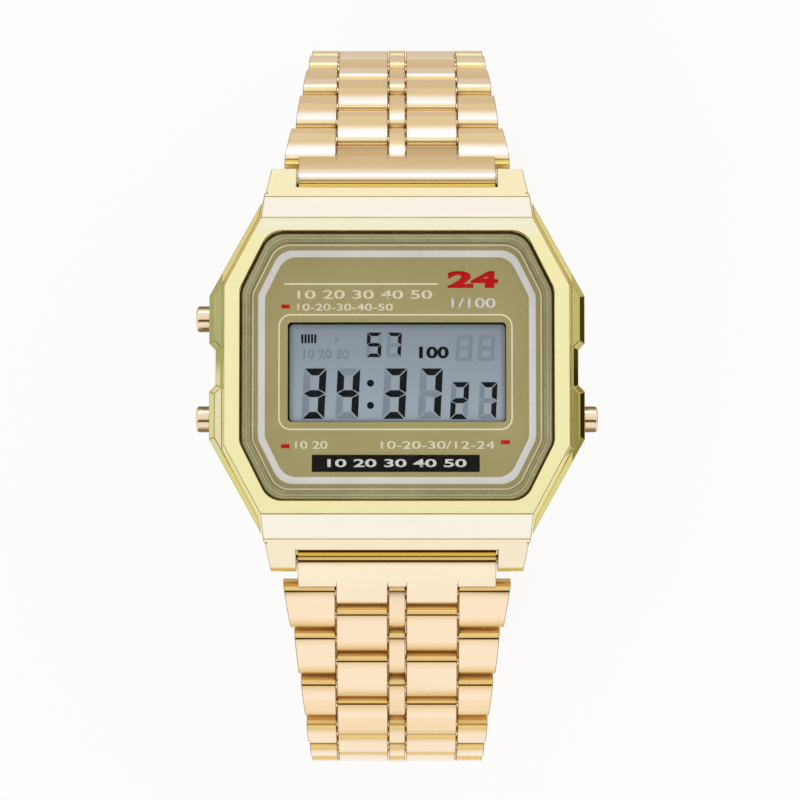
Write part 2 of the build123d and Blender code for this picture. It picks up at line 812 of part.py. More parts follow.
def clasp_pins():
    """Each clasp pin by its node name."""
    half = blade_half_width
    fork_outer = middle_outer + fork_clearance + ear_width
    wrist_pivot = clasp_point(clasp_reach, clasp_pivot_height)
    free_pivot = clasp_point(-clasp_reach, clasp_pivot_height)
    bar_half = middle_outer - link_pin_inset
    cover_pin_half = cover_half_width - link_pin_inset
    return {
        "clasp_link_pin": [pin_across(*wrist_pivot, link_pin_radius, -fork_outer, fork_outer).solid()],
        "clasp_blade_pin": [pin_across(*blade_hinge(), clasp_pin_radius, -half, half).solid()],
        "clasp_cover_pin": [
            pin_across(*cover_hinge(), clasp_pin_radius, -cover_pin_half, cover_pin_half).solid()
        ],
        "clasp_spring_bar": [pin_across(*free_pivot, link_pin_radius, -bar_half, bar_half).solid()],
    }


def chain_leans(first_leans, links, curl):
    """Lean of the end piece and every link; the hidden ones curl on towards the clasp."""
    last = first_leans[-1]
    hidden = links + 1 - len(first_leans)
    turn = 180 - clasp_lean() - last
    steps = [1 - (1 - step / (hidden + 1)) ** curl for step in range(1, hidden + 1)]
    return list(first_leans) + [last + turn * step for step in steps]


def chain_run(leans):
    """How far a chain reaches out and down from its spring bar."""
    lengths = [end_pitch] + [link_pitch] * (len(leans) - 1)
    out = sum(length * math.cos(math.radians(lean)) for length, lean in zip(lengths, leans))
    down = sum(length * math.sin(math.radians(lean)) for length, lean in zip(lengths, leans))
    return out, down


def crossing(measure, low, high):
    """Where a steady measure changes sign between two values, by halving."""
    rising = measure(high) > measure(low)
    for _ in range(60):
        middle = (low + high) / 2
        if (measure(middle) > 0) == rising:
            high = middle
        else:
            low = middle
    return (low + high) / 2


def closed_loop():
    """Leans of both chains and the place of the case that close the bracelet."""
    clasp_y, clasp_z = clasp_point(clasp_reach, clasp_pivot_height)

    def leans_for(curl_12):
        leans = chain_leans(lean_degrees_12, link_12_count, curl_12)
        down = chain_run(leans)[1]

        def drop(curl_6):
            return chain_run(chain_leans(lean_degrees_6, link_6_count, curl_6))[1] - down

        curl = crossing(drop, least_curl_power, most_curl_power)
        return leans, chain_leans(lean_degrees_6, link_6_count, curl)

    def shortfall(curl_12):
        leans, other = leans_for(curl_12)
        return chain_run(leans)[0] + chain_run(other)[0] + 2 * spring_bar_y - 2 * clasp_y

    leans, other = leans_for(crossing(shortfall, least_curl_power, most_curl_power))
    out, down = chain_run(leans)
    case_y = clasp_y - spring_bar_y - out
    bar_z = clasp_z + down
    return leans, other, case_y, bar_z - lug_hole_height


def chain_places(leans, side, case_y, case_z):
    """Y, Z and lean of the spring bar and of each pivot along one side of the bracelet."""
    y = case_y + side * spring_bar_y
    z = case_z + lug_hole_height
    places = []
    for number, lean in enumerate(leans):
        places.append((y, z, lean))
        length = end_pitch if number == 0 else link_pitch
        y += side * length * math.cos(math.radians(lean))
        z -= length * math.sin(math.radians(lean))
    return places


def placed(pieces, side, place):
    """Moves pieces made with the chain along +Y to their place on one side of the loop."""
    y, z, lean = place
    turn = Rot(X=-lean) if side > 0 else Rot(X=lean) * Rot(Z=180)
    return [Pos(0, y, z) * turn * piece for piece in pieces]


def watch_nodes():
    leans_12, leans_6, case_y, case_z = closed_loop()
    head = {
        "case_body": case_body(),
        "crystal": crystal(),
        "crystal_gasket": crystal_gasket(),
        "face_panel": face_panel(),
        "lcd_glass": lcd_glass(),
        "lcd_reflector": lcd_reflector(),
        "light_guide": light_guide(),
        "lamp": lamp(),
        "connector_strips": connector_strips(),
        "module_frame": module_frame(),
        "circuit_board": circuit_board(),
        "controller_chip": controller_chip(),
        "quartz_can": quartz_can(),
        "battery": battery(),
        "battery_clip": battery_clip(),
        "buzzer_disc": buzzer_disc(),
        "buzzer_spring": buzzer_spring(),
        "case_back": case_back(),
        "case_back_gasket": case_back_gasket(),
        "case_back_screws": case_back_screws(),
        "pusher_seals": pusher_seals(),
        "lug_spring_bars": lug_spring_bars(),
    }
    for side, y, name in pusher_places():
        head["pusher_" + name] = pusher(side, y)
        head["pusher_spring_" + name] = pusher_spring(side, y)
    nodes = {name: [Pos(0, case_y, case_z) * piece for piece in pieces] for name, pieces in head.items()}
    for side, leans, hour in ((1, leans_12, "12"), (-1, leans_6, "6")):
        places = chain_places(leans, side, case_y, case_z)
        nodes["end_piece_" + hour] = placed(end_piece_pieces(), side, places[0])
        for index, place in enumerate(places[1:]):
            nodes[f"link_{hour}_{index + 1:02d}"] = placed(link_pieces(index), side, place)
    nodes["clasp_cover"] = clasp_cover()
    nodes["clasp_middle_blade"] = middle_blade()
    nodes["clasp_inner_blade"] = inner_blade()
    nodes.update(clasp_pins())
    return nodes


def centre_shift(nodes):
    """How far the whole watch has to move along Y to stand centred over the origin."""
    boxes = [piece.bounding_box() for pieces in nodes.values() for piece in pieces]
    return -(min(box.min.Y for box in boxes) + max(box.max.Y for box in boxes)) / 2


def write_parts(nodes, shift):
    os.makedirs("parts", exist_ok=True)
    for name, pieces in nodes.items():
        export_step(Pos(0, shift, 0) * Compound(pieces), f"parts/{name}.step")


watch = watch_nodes()
origin_shift = centre_shift(watch)
write_parts(watch, origin_shift)
print("loop", *[round(value, 3) for value in closed_loop()[2:]], "shift", round(origin_shift, 3))
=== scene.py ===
import json
import math

import bmesh
import bpy
from mathutils import Matrix, Vector

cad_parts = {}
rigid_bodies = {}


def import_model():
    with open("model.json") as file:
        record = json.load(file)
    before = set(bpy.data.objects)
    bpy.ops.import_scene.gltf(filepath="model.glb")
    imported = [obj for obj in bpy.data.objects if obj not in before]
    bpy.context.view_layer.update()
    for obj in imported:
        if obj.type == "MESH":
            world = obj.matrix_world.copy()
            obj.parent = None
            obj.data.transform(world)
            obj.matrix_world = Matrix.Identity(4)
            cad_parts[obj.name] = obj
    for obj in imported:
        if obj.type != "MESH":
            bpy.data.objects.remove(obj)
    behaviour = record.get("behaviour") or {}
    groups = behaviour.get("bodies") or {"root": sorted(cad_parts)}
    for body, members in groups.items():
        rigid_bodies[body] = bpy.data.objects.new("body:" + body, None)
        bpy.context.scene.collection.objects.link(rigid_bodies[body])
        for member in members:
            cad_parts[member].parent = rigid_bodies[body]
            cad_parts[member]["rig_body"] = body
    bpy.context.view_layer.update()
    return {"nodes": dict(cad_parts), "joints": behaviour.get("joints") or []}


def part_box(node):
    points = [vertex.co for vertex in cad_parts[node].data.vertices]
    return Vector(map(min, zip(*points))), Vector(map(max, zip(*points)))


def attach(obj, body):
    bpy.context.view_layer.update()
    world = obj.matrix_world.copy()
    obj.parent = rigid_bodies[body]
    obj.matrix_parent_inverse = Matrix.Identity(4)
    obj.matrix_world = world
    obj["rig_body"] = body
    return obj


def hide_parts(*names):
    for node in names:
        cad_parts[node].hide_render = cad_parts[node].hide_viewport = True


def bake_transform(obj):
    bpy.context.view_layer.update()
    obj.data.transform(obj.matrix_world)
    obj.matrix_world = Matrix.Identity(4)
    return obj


for leftOver in list(bpy.data.objects):
    bpy.data.objects.remove(leftOver)
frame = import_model()
nodes = frame["nodes"]
scene = bpy.context.scene
print("frame loaded,", len(nodes), "nodes")

# Lengths below are in millimetres and are multiplied by mm where they meet the scene.
mm = 0.001
caseLow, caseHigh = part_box("case_body")
caseY = (caseLow.y + caseHigh.y) / 2 / mm
dialZ = caseHigh.z / mm
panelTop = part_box("face_panel")[1].z / mm
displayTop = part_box("lcd_glass")[1].z / mm
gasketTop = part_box("crystal_gasket")[1].z / mm


def toLight(step):
    # The standard curve from a screen's step to linear light.
    return step / 12.92 if step <= 0.04045 else ((step + 0.055) / 1.055) ** 2.4


def paint(red, green, blue):
    # A given colour, as linear light.
    return tuple(toLight(value / 255) for value in (red, green, blue)) + (1.0,)


def inMetres(pair, origin=0.0):
    return [(value + origin) * mm for value in pair]


def newPiece(mesh, finish):
    mesh.materials.append(finish)
    piece = bpy.data.objects.new(mesh.name, mesh)
    scene.collection.objects.link(piece)
    return piece


class Wire:
    # One output of a node. Sums of wires and numbers add Math nodes.
    def __init__(self, tree, owner=None, output=0):
        self.tree, self.owner, self.output = tree, owner, output

    def node(self, kind, settings=None, values=None, output=0):
        made = self.tree.nodes.new(kind)
        for name, setting in (settings or {}).items():
            if name == "stops":
                self.setStops(made.color_ramp, setting)
            else:
                setattr(made, name, setting)
        for name, value in (values or {}).items():
            if isinstance(value, Wire):
                self.tree.links.new(value.owner.outputs[value.output], made.inputs[name])
            else:
                made.inputs[name].default_value = value
        return Wire(self.tree, made, output)

    def setStops(self, ramp, stops):
        while len(ramp.elements) < len(stops):
            ramp.elements.new(1.0)
        for element, (place, colour) in zip(ramp.elements, stops):
            element.position = place
            element.color = colour

    def out(self, name):
        return Wire(self.tree, self.owner, name)

    def maths(self, operation, first, second=0.0):
        return self.node("ShaderNodeMath", {"operation": operation}, {0: first, 1: second})

    def __add__(self, other):
        return self.maths("ADD", self, other)

    def __radd__(self, other):
        return self.maths("ADD", other, self)

    def __sub__(self, other):
        return self.maths("SUBTRACT", self, other)

    def __rsub__(self, other):
        return self.maths("SUBTRACT", other, self)

    def __mul__(self, other):
        return self.maths("MULTIPLY", self, other)

    def __truediv__(self, other):
        return self.maths("DIVIDE", self, other)

    def size(self):
        return self.maths("ABSOLUTE", self)

    def fade(self, low, high):
        span = {"Value": self, "From Min": low, "From Max": high}
        return self.node("ShaderNodeMapRange", {"interpolation_type": "SMOOTHSTEP"}, span)

    def mix(self, first, second):
        # The wire is the share of the second colour.
        return self.node("ShaderNodeMix", {"data_type": "RGBA"}, {0: self, 6: first, 7: second}, 2)

    def noise(self, stretch, detail=2.0):
        # The wire is a place; stretch is how many grains lie in a metre along x, y and z.
        spread = self.node("ShaderNodeMapping", {}, {"Vector": self, "Scale": stretch})
        return self.node("ShaderNodeTexNoise", {}, {"Vector": spread, "Scale": 1.0, "Detail": detail})

    def axis(self, letter):
        return self.node("ShaderNodeSeparateXYZ", {}, {0: self}, letter)


def startFinish(name):
    material = bpy.data.materials.new(name)
    material.use_nodes = True
    material.node_tree.nodes.clear()
    return material, Wire(material.node_tree)


def coat(start, values):
    surface = start.node("ShaderNodeBsdfPrincipled", {}, values)
    start.node("ShaderNodeOutputMaterial", {}, {"Surface": surface})


def bump(start, height, relief):
    # The relief is its strength and its depth in millimetres.
    strength, depth = relief
    return start.node("ShaderNodeBump", {}, {"Strength": strength, "Distance": depth * mm, "Height": height})


caseLook = {
    "face": paint(251, 247, 200), "faceTopPaintedReflection": paint(249, 248, 234),
    # Painted highlights and reflections, for the half at 6 and the half at 12 o'clock, where the two differ.
    "facet": (paint(251, 245, 234), paint(253, 249, 244)),
    "lugPaintedReflection": (paint(247, 233, 206), paint(243, 230, 190)),
    "leftGuardPaintedReflection": (paint(238, 235, 200), paint(176, 180, 132)),
    "rightGuardPaintedReflection": (paint(148, 138, 70), paint(196, 189, 122)),
    # The lugs' tips get a painted reflection in deeper gold, and the edge colour is a painted shade line on
    # the edge roundings.
    "tip": paint(214, 176, 78), "side": paint(242, 232, 166), "edge": paint(168, 150, 84),
    # Where each region fades in: by the upward or sideways share of the face's normal, or by distance.
    "flatUp": (0.95, 0.99), "slopeUp": (0.3, 0.5), "slopeSideways": (0.2, 0.4), "lugUp": (0.7, 0.76),
    "guardUp": (0.5, 0.65), "guardFrom": (15.55, 15.6), "halves": (-1.0, 1.0), "topEnd": (11.0, 12.6),
    "lugTip": (0.2, 0.4),
    "faceRoughness": 0.22, "slopeRoughness": 0.36, "sideRoughness": 0.1, "slopeMetal": 0.3,
    "hairs": (9000.0, 300.0, 9000.0), "hairRoughness": 0.05, "hairRelief": (0.05, 0.05),
    "clouds": (110.0, 110.0, 110.0), "cloudShare": 0.12,
    "edgeClouds": (400.0, 400.0, 400.0), "edgeShare": 0.5, "edgeRoughness": 0.12, "edgeRelief": (0.05, 0.03),
}


def makeCaseGold():
    # The dial side is brushed, the end slopes are satin, and the flanks are polished. The colours of the
    # face's 12 o'clock end, the end slopes, the guards and the lugs' tips are painted reflections and
    # highlights.
    material, start = startFinish("caseGold")
    spot = start.node("ShaderNodeTexCoord")
    place = spot.out("Object")
    upward, sideways = spot.out("Normal").axis("Z"), spot.out("Normal").axis("X")
    across, length = place.axis("X"), place.axis("Y")
    hairs = place.noise(caseLook["hairs"])
    cloud = place.noise(caseLook["clouds"], 4.0)
    flat = upward.fade(*caseLook["flatUp"])
    slope = upward.fade(*caseLook["slopeUp"]) * (1.0 - sideways.size().fade(*caseLook["slopeSideways"]))
    half = length.fade(*inMetres(caseLook["halves"], caseY))
    # Painted highlights on the end slopes: the facets and the lugs get near-white colours chosen by the
    # slope's angle and by half.
    sloped = upward.fade(*caseLook["lugUp"]).mix(half.mix(*caseLook["facet"]), half.mix(*caseLook["lugPaintedReflection"]))
    # Painted reflection: the face turns whiter towards its 12 o'clock end.
    topEnd = length.fade(*inMetres(caseLook["topEnd"], caseY))
    level = topEnd.mix(caseLook["face"], caseLook["faceTopPaintedReflection"])
    platingAndPaintedLight = flat.mix(slope.mix(caseLook["side"], sloped), level)
    # Painted reflections on the guards: light and dark olive, by side and by half.
    right = across.fade(*inMetres(caseLook["halves"]))
    guardPaintedReflection = right.mix(half.mix(*caseLook["leftGuardPaintedReflection"]), half.mix(*caseLook["rightGuardPaintedReflection"]))
    outside = across.size().fade(*inMetres(caseLook["guardFrom"]))
    platingAndPaintedLight = (outside * upward.fade(*caseLook["guardUp"])).mix(platingAndPaintedLight, guardPaintedReflection)
    # Painted reflection: the lugs' tips at 6 o'clock are a deeper gold.
    lugTip = 1.0 - length.fade(*inMetres(caseLook["lugTip"], caseLow.y / mm))
    colour = lugTip.mix((cloud * caseLook["cloudShare"]).mix(platingAndPaintedLight, caseLook["side"]), caseLook["tip"])
    satin = slope * (1.0 - flat)
    satinStep = caseLook["slopeRoughness"] - caseLook["sideRoughness"]
    flatStep = caseLook["faceRoughness"] - caseLook["sideRoughness"]
    uneven = (hairs - 0.5) * caseLook["hairRoughness"]
    roughness = satin * satinStep + flat * flatStep + caseLook["sideRoughness"] + uneven
    metal = 1.0 - satin * (1.0 - caseLook["slopeMetal"])
    normal = bump(start, hairs * flat, caseLook["hairRelief"])
    coat(start, {"Base Color": colour, "Metallic": metal, "Roughness": roughness, "Normal": normal})
    return material


def makeCaseEdgePaintedShade():
    # The narrow rounding along each edge is deeper in colour, a painted shade line.
    material, start = startFinish("caseEdgePaintedShade")
    cloud = start.node("ShaderNodeTexCoord").out("Object").noise(caseLook["edgeClouds"], 4.0)
    colour = (cloud * caseLook["edgeShare"]).mix(caseLook["edge"], caseLook["side"])
    coat(start, {"Base Color": colour, "Metallic": 1.0, "Roughness": caseLook["edgeRoughness"] + cloud * 0.1,
                 "Normal": bump(start, cloud, caseLook["edgeRelief"])})
    return material


braceletLook = {
    "light": paint(254, 232, 202), "deep": paint(240, 208, 160), "roughness": 0.1,
    "bead": (0.78, 0.84), "beadRoughness": 0.22, "hairs": (11000.0, 0.0, 0.0), "relief": (0.22, 0.05),
    "clouds": (150.0, 150.0, 150.0), "cloudShare": 0.2, "plainShare": 0.1,
    # Less of a metal at a link's two ends, so that they don't darken each other.
    "nearTip": (0.02, 0.08), "farTip": (0.88, 0.97), "endMetal": 0.55,
    # Painted highlights and shade, from a link's end nearest the case to its far end, on the 12 and on the 6
    # o'clock side.
    "alongPaintedLight12": [(0.0, paint(244, 214, 152)), (0.05, paint(253, 228, 170)), (0.09, paint(250, 236, 208)),
                (0.13, paint(255, 249, 241)), (0.3, paint(255, 248, 240)), (0.4, paint(242, 224, 188)),
                (0.8, paint(246, 232, 204)), (0.92, paint(243, 227, 194)), (1.0, paint(228, 203, 158))],
    "alongPaintedLight6": [(0.0, paint(226, 184, 104)), (0.05, paint(240, 202, 122)), (0.1, paint(230, 200, 138)),
               (0.14, paint(236, 205, 154)), (0.2, paint(246, 220, 184)), (0.3, paint(254, 232, 202)),
               (0.7, paint(254, 231, 199)), (0.78, paint(249, 218, 177)), (0.85, paint(234, 205, 150)),
               (0.92, paint(220, 184, 122)), (1.0, paint(214, 170, 98))],
    # Painted highlights, dark lines and shade on the end pieces, outwards over endSpan from endFrom, which is
    # measured from the case's middle.
    "endFrom": 16.0, "endSpan": 5.0,
    "endPaintedLight12": [(0.1, paint(240, 202, 128)), (0.17, paint(255, 226, 165)), (0.205, paint(150, 112, 60)),
              (0.25, paint(240, 224, 200)), (0.29, paint(255, 249, 241)), (0.38, paint(255, 248, 239)),
              (0.45, paint(230, 210, 176)), (0.55, paint(220, 198, 160)), (0.8, paint(212, 188, 152))],
    "endPaintedLight6": [(0.04, paint(200, 160, 90)), (0.09, paint(196, 150, 56)), (0.13, paint(255, 224, 136)),
             (0.17, paint(196, 152, 62)), (0.21, paint(232, 206, 150)), (0.24, paint(150, 112, 50)),
             (0.28, paint(240, 212, 168)), (0.34, paint(255, 240, 212)), (0.9, paint(253, 234, 206))],
}


def makeBraceletGold(name, kind):
    material, start = startFinish(name)
    place = start.node("ShaderNodeTexCoord").out("Object")
    across, length = place.axis("X"), place.axis("Y")
    hairs = place.noise(braceletLook["hairs"], 3.0)
    cloud = place.noise(braceletLook["clouds"], 4.0)
    brushed = tips = cloud * braceletLook["plainShare"]
    if kind == "link":
        brushed = 1.0 - across.size().fade(*inMetres(braceletLook["bead"]))
        run = start.node("ShaderNodeAttribute", {"attribute_name": "along"}, {}, "Fac")
        tips = run.fade(*braceletLook["farTip"]) + (1.0 - run.fade(*braceletLook["nearTip"]))
        # Painted highlights and shade along each link.
        platingAndPaintedLight = banded(length, run, "alongPaintedLight6", "alongPaintedLight12")
    elif kind == "endPiece":
        run = (length - caseY * mm).size() / mm
        run = (run - braceletLook["endFrom"]) / braceletLook["endSpan"]
        platingAndPaintedLight = banded(length, run, "endPaintedLight6", "endPaintedLight12")
    else:
        platingAndPaintedLight = cloud.mix(braceletLook["light"], braceletLook["deep"])
    deeper = cloud * braceletLook["cloudShare"] + brushed * (hairs - 0.3) * 0.8
    colour = deeper.mix(platingAndPaintedLight, braceletLook["deep"])
    step = braceletLook["beadRoughness"] - braceletLook["roughness"]
    roughness = brushed * step + braceletLook["roughness"] + (hairs - 0.5) * 0.08 + (cloud - 0.5) * 0.06
    metal = 1.0 - tips * (1.0 - braceletLook["endMetal"])
    normal = bump(start, hairs * (0.06 + brushed), braceletLook["relief"])
    coat(start, {"Base Color": colour, "Metallic": metal, "Roughness": roughness, "Normal": normal})
    return material


def banded(length, run, side6, side12):
    # The painted light bands of the side of the watch that the place lies on.
    tones = [length.node("ShaderNodeValToRGB", {"stops": braceletLook[side]}, {"Fac": run})
             for side in (side6, side12)]
    return length.fade(0.0, mm).mix(*tones)


metalLooks = {
    # The pushers' dark rim colour is painted shade.
    "pusherGold": {"light": paint(252, 236, 208), "deep": paint(222, 190, 148), "paintedRimShade": paint(122, 92, 58),
                   "rimFrom": (0.55, 0.9), "roughness": 0.16, "stretch": (200.0, 9000.0, 9000.0)},
    "brushedSteel": {"light": paint(214, 214, 210), "deep": paint(170, 170, 168), "roughness": 0.28,
                     "stretch": (9000.0, 200.0, 3000.0)},
    "turnedSteel": {"light": paint(205, 205, 203), "deep": paint(150, 150, 150), "roughness": 0.3,
                    "stretch": (300.0, 7000.0, 7000.0)},
    # Painted shade: the links' edge roundings are a darker gold than the links.
    "linkEdgePaintedShade": {"light": paint(200, 162, 108), "deep": paint(150, 112, 64), "roughness": 0.45,
                 "stretch": (3000.0, 3000.0, 3000.0)},
    "buzzerBrass": {"light": paint(226, 190, 110), "deep": paint(176, 132, 62), "roughness": 0.3,
                    "stretch": (5000.0, 5000.0, 5000.0)},
}


metalGrain = {"clouds": (120.0, 120.0, 120.0), "share": 0.35, "relief": (0.12, 0.04)}


def makeMetal(name):
    look = metalLooks[name]
    material, start = startFinish(name)
    spot = start.node("ShaderNodeTexCoord")
    place = spot.out("Object")
    hairs = place.noise(look["stretch"], 3.0)
    cloud = place.noise(metalGrain["clouds"], 4.0)
    deeper = hairs * metalGrain["share"] + cloud * metalGrain["share"]
    colour = deeper.mix(look["light"], look["deep"])
    # Painted shade: dark brown where the pusher's surface faces 6 or 12 o'clock.
    if "paintedRimShade" in look:
        colour = spot.out("Normal").axis("Y").size().fade(*look["rimFrom"]).mix(colour, look["paintedRimShade"])
    roughness = look["roughness"] + (hairs - 0.5) * 0.12 + (cloud - 0.5) * 0.08
    coat(start, {"Base Color": colour, "Metallic": 1.0, "Roughness": roughness,
                 "Normal": bump(start, hairs, metalGrain["relief"])})
    return material


plainLooks = {
    "olivePanel": {"light": paint(176, 162, 112), "deep": paint(164, 150, 102),
                   "roughness": 0.42, "grains": 6000.0},
    "borderPrint": {"light": paint(176, 166, 126), "deep": paint(148, 138, 98),
                    "roughness": 0.4, "grains": 5000.0},
    "blackPlastic": {"light": paint(38, 38, 40), "deep": paint(24, 24, 26),
                     "roughness": 0.5, "grains": 4000.0},
    "blackRubber": {"light": paint(34, 33, 33), "deep": paint(20, 20, 20),
                    "roughness": 0.75, "grains": 9000.0},
    "clearPlastic": {"light": paint(226, 230, 226), "deep": paint(200, 208, 205),
                     "roughness": 0.2, "grains": 1500.0},
    "reflectorFilm": {"light": paint(208, 212, 208), "deep": paint(182, 188, 184),
                      "roughness": 0.45, "grains": 7000.0},
    "creamInk": {"light": paint(244, 236, 208), "deep": paint(230, 220, 188),
                 "roughness": 0.5, "grains": 8000.0},
    "whiteInk": {"light": paint(238, 231, 234), "deep": paint(222, 215, 217),
                 "roughness": 0.5, "grains": 8000.0},
    "redInk": {"light": paint(214, 14, 30), "deep": paint(190, 8, 22),
               "roughness": 0.5, "grains": 8000.0, "shine": 0.05},
    "brownInk": {"light": paint(74, 52, 26), "deep": paint(48, 32, 14),
                 "roughness": 0.5, "grains": 8000.0, "shine": 0.05},
    "blackInk": {"light": paint(16, 13, 14), "deep": paint(8, 7, 8),
                 "roughness": 0.5, "grains": 8000.0, "shine": 0.05},
    "darkSegment": {"light": paint(14, 18, 28), "deep": paint(8, 10, 18),
                    "roughness": 0.35, "grains": 3000.0, "shine": 0.05},
    "idleSegment": {"light": paint(132, 142, 157), "deep": paint(124, 135, 150),
                    "roughness": 0.35, "grains": 3000.0},
}


plainGrain = {"clouds": (180.0, 180.0, 180.0), "spread": (0.3, 0.7), "shine": 0.3, "relief": (0.1, 0.03)}


def makePlain(name):
    look = plainLooks[name]
    material, start = startFinish(name)
    place = start.node("ShaderNodeTexCoord").out("Object")
    grain = place.noise((look["grains"],) * 3, 3.0)
    cloud = place.noise(plainGrain["clouds"], 4.0)
    deeper = (grain * 0.5 + cloud * 0.5).fade(*plainGrain["spread"])
    roughness = look["roughness"] + (grain - 0.5) * 0.15
    coat(start, {"Base Color": deeper.mix(look["light"], look["deep"]), "Roughness": roughness,
                 "Specular IOR Level": look.get("shine", plainGrain["shine"]),
                 "Normal": bump(start, grain, plainGrain["relief"])})
    return material


displayLook = {
    "top": paint(138, 148, 164), "bottom": paint(158, 168, 184), "paintedRimShade": paint(84, 90, 104), "rimShare": 0.6,
    "fromBottom": 1.2, "fromTop": 0.8, "roughness": 0.22, "relief": (0.04, 0.02),
    "clouds": (160.0, 160.0, 160.0), "grains": (9000.0, 9000.0, 9000.0),
    # Where the shade of the window's rim starts and ends, for left, right, top and bottom.
    "rimShade": {"left": (-9.7, -8.9), "right": (9.75, 9.1), "top": (3.95, 3.2), "bottom": (-5.0, -4.5)},
}


def makeDisplayGlass():
    material, start = startFinish("displayGlass")
    place = start.node("ShaderNodeTexCoord").out("Object")
    low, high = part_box("lcd_glass")
    bottom, top = low.y + displayLook["fromBottom"] * mm, high.y - displayLook["fromTop"] * mm
    height = place.axis("Y").fade(bottom, top)
    cloud = place.noise(displayLook["clouds"], 3.0)
    grain = place.noise(displayLook["grains"], 1.0)
    upper = height + (cloud - 0.5) * 0.25 + (grain - 0.5) * 0.1
    colour = upper.mix(displayLook["bottom"], displayLook["top"])
    # Painted shade darkens the display towards the window's rim.
    inside = 1.0
    for side, outerAndInner in displayLook["rimShade"].items():
        letter, middle = ("X", 0.0) if side in ("left", "right") else ("Y", caseY)
        inside = place.axis(letter).fade(*inMetres(outerAndInner, middle)) * inside
    colour = ((1.0 - inside) * displayLook["rimShare"]).mix(colour, displayLook["paintedRimShade"])
    roughness = displayLook["roughness"] + (grain - 0.5) * 0.08
    coat(start, {"Base Color": colour, "Roughness": roughness,
                 "Normal": bump(start, grain, displayLook["relief"])})
    return material


boardLook = {"mask": paint(28, 92, 52), "track": paint(60, 138, 80), "tracksPerMetre": 420.0,
             "trackWidth": 0.04, "offset": 0.35, "clouds": (300.0, 300.0, 300.0), "cloudShare": 0.3,
             "roughness": 0.35, "relief": (0.2, 0.03)}


def makeCircuitBoard():
    material, start = startFinish("circuitBoard")
    place = start.node("ShaderNodeTexCoord").out("Object")
    grid = start.node("ShaderNodeTexBrick", {"offset": boardLook["offset"]}, {
        "Vector": place, "Scale": boardLook["tracksPerMetre"], "Mortar Size": boardLook["trackWidth"],
        "Color1": boardLook["mask"], "Color2": boardLook["mask"], "Mortar": boardLook["track"]})
    cloud = place.noise(boardLook["clouds"], 4.0)
    colour = (cloud * boardLook["cloudShare"]).mix(grid, boardLook["mask"])
    coat(start, {"Base Color": colour, "Roughness": boardLook["roughness"] + cloud * 0.15,
                 "Normal": bump(start, grid.out("Fac"), boardLook["relief"])})
    return material


stripLook = {"carbon": paint(28, 28, 30), "silicone": paint(176, 176, 168), "waveScale": 250.0,
             "sharpness": (0.4, 0.6), "roughness": 0.6, "relief": (0.1, 0.03)}


def makeStripedRubber():
    material, start = startFinish("stripedRubber")
    place = start.node("ShaderNodeTexCoord").out("Object")
    stripes = start.node("ShaderNodeTexWave", {"bands_direction": "X"},
                         {"Vector": place, "Scale": stripLook["waveScale"]}, "Fac")
    sharp = stripes.fade(*stripLook["sharpness"])
    coat(start, {"Base Color": sharp.mix(stripLook["carbon"], stripLook["silicone"]),
                 "Roughness": stripLook["roughness"] + sharp * 0.1,
                 "Normal": bump(start, stripes, stripLook["relief"])})
    return material


crystalLook = {"bend": 1.45, "gloss": 0.02, "mirror": 0.15, "tint": (0.97, 0.98, 0.97, 1.0),
               "smears": (220.0, 90.0, 220.0)}


def makeCrystalGlass():
    material, start = startFinish("crystalGlass")
    place = start.node("ShaderNodeTexCoord").out("Object")
    smears = place.noise(crystalLook["smears"], 4.0)
    clear = start.node("ShaderNodeBsdfTransparent", {}, {"Color": crystalLook["tint"]})
    gloss = start.node("ShaderNodeBsdfGlossy", {}, {"Roughness": crystalLook["gloss"] + smears * 0.04})
    share = start.node("ShaderNodeFresnel", {}, {"IOR": crystalLook["bend"]}) * crystalLook["mirror"]
    surface = start.node("ShaderNodeMixShader", {}, {0: share, 1: clear, 2: gloss})
    start.node("ShaderNodeOutputMaterial", {}, {"Surface": surface})
    return material


finishes = {"caseGold": makeCaseGold(), "caseEdgePaintedShade": makeCaseEdgePaintedShade(),
            "braceletGold": makeBraceletGold("braceletGold", "link"),
            "endPieceGold": makeBraceletGold("endPieceGold", "endPiece"),
            "plainBraceletGold": makeBraceletGold("plainBraceletGold", "plain"),
            "displayGlass": makeDisplayGlass(),
            "circuitBoard": makeCircuitBoard(), "stripedRubber": makeStripedRubber(),
            "crystalGlass": makeCrystalGlass()}
finishes.update({name: makeMetal(name) for name in metalLooks})
finishes.update({name: makePlain(name) for name in plainLooks})
finishOfSlot = {
    "case_gold": "caseGold", "bracelet_gold": "braceletGold", "pusher_gold": "pusherGold",
    "steel": "brushedSteel",
    "clear_glass": "crystalGlass", "display_glass": "displayGlass", "face_print": "olivePanel",
    "reflector_film": "reflectorFilm", "clear_plastic": "clearPlastic", "black_plastic": "blackPlastic",
    "green_board": "circuitBoard", "black_rubber": "blackRubber", "striped_rubber": "stripedRubber",
    "bare_brass": "buzzerBrass",
}
for node in nodes.values():
    slot = node.material_slots[0].material.name
    node["slotName"] = slot
    node.material_slots[0].material = finishes[finishOfSlot[slot]]
print("finishes made:", len(finishes))


floorLook = {
    "reach": 0.25, "drop": 0.00002, "colour": paint(246, 245, 243), "shade": paint(236, 235, 232),
    "clouds": (30.0, 30.0, 30.0), "roughness": 0.8,
    # How much of the floor is plain white to the camera and in mirrored light.
    "selfWhite": 0.85, "mirrorWhite": 0.7,
    # Painted reflection: on the 12 o'clock side of the watch the floor glows tan in mirrored light.
    "behind": paint(206, 184, 150), "behindFrom": (0.0, 0.06),
}
fullWhite = (1.0, 1.0, 1.0, 1.0)


def seenStraight(ray):
    # 1 for rays from the camera, also through the crystal.
    fromCamera = ray.out("Is Camera Ray")
    return fromCamera.maths("MAXIMUM", fromCamera, ray.out("Is Transmission Ray"))


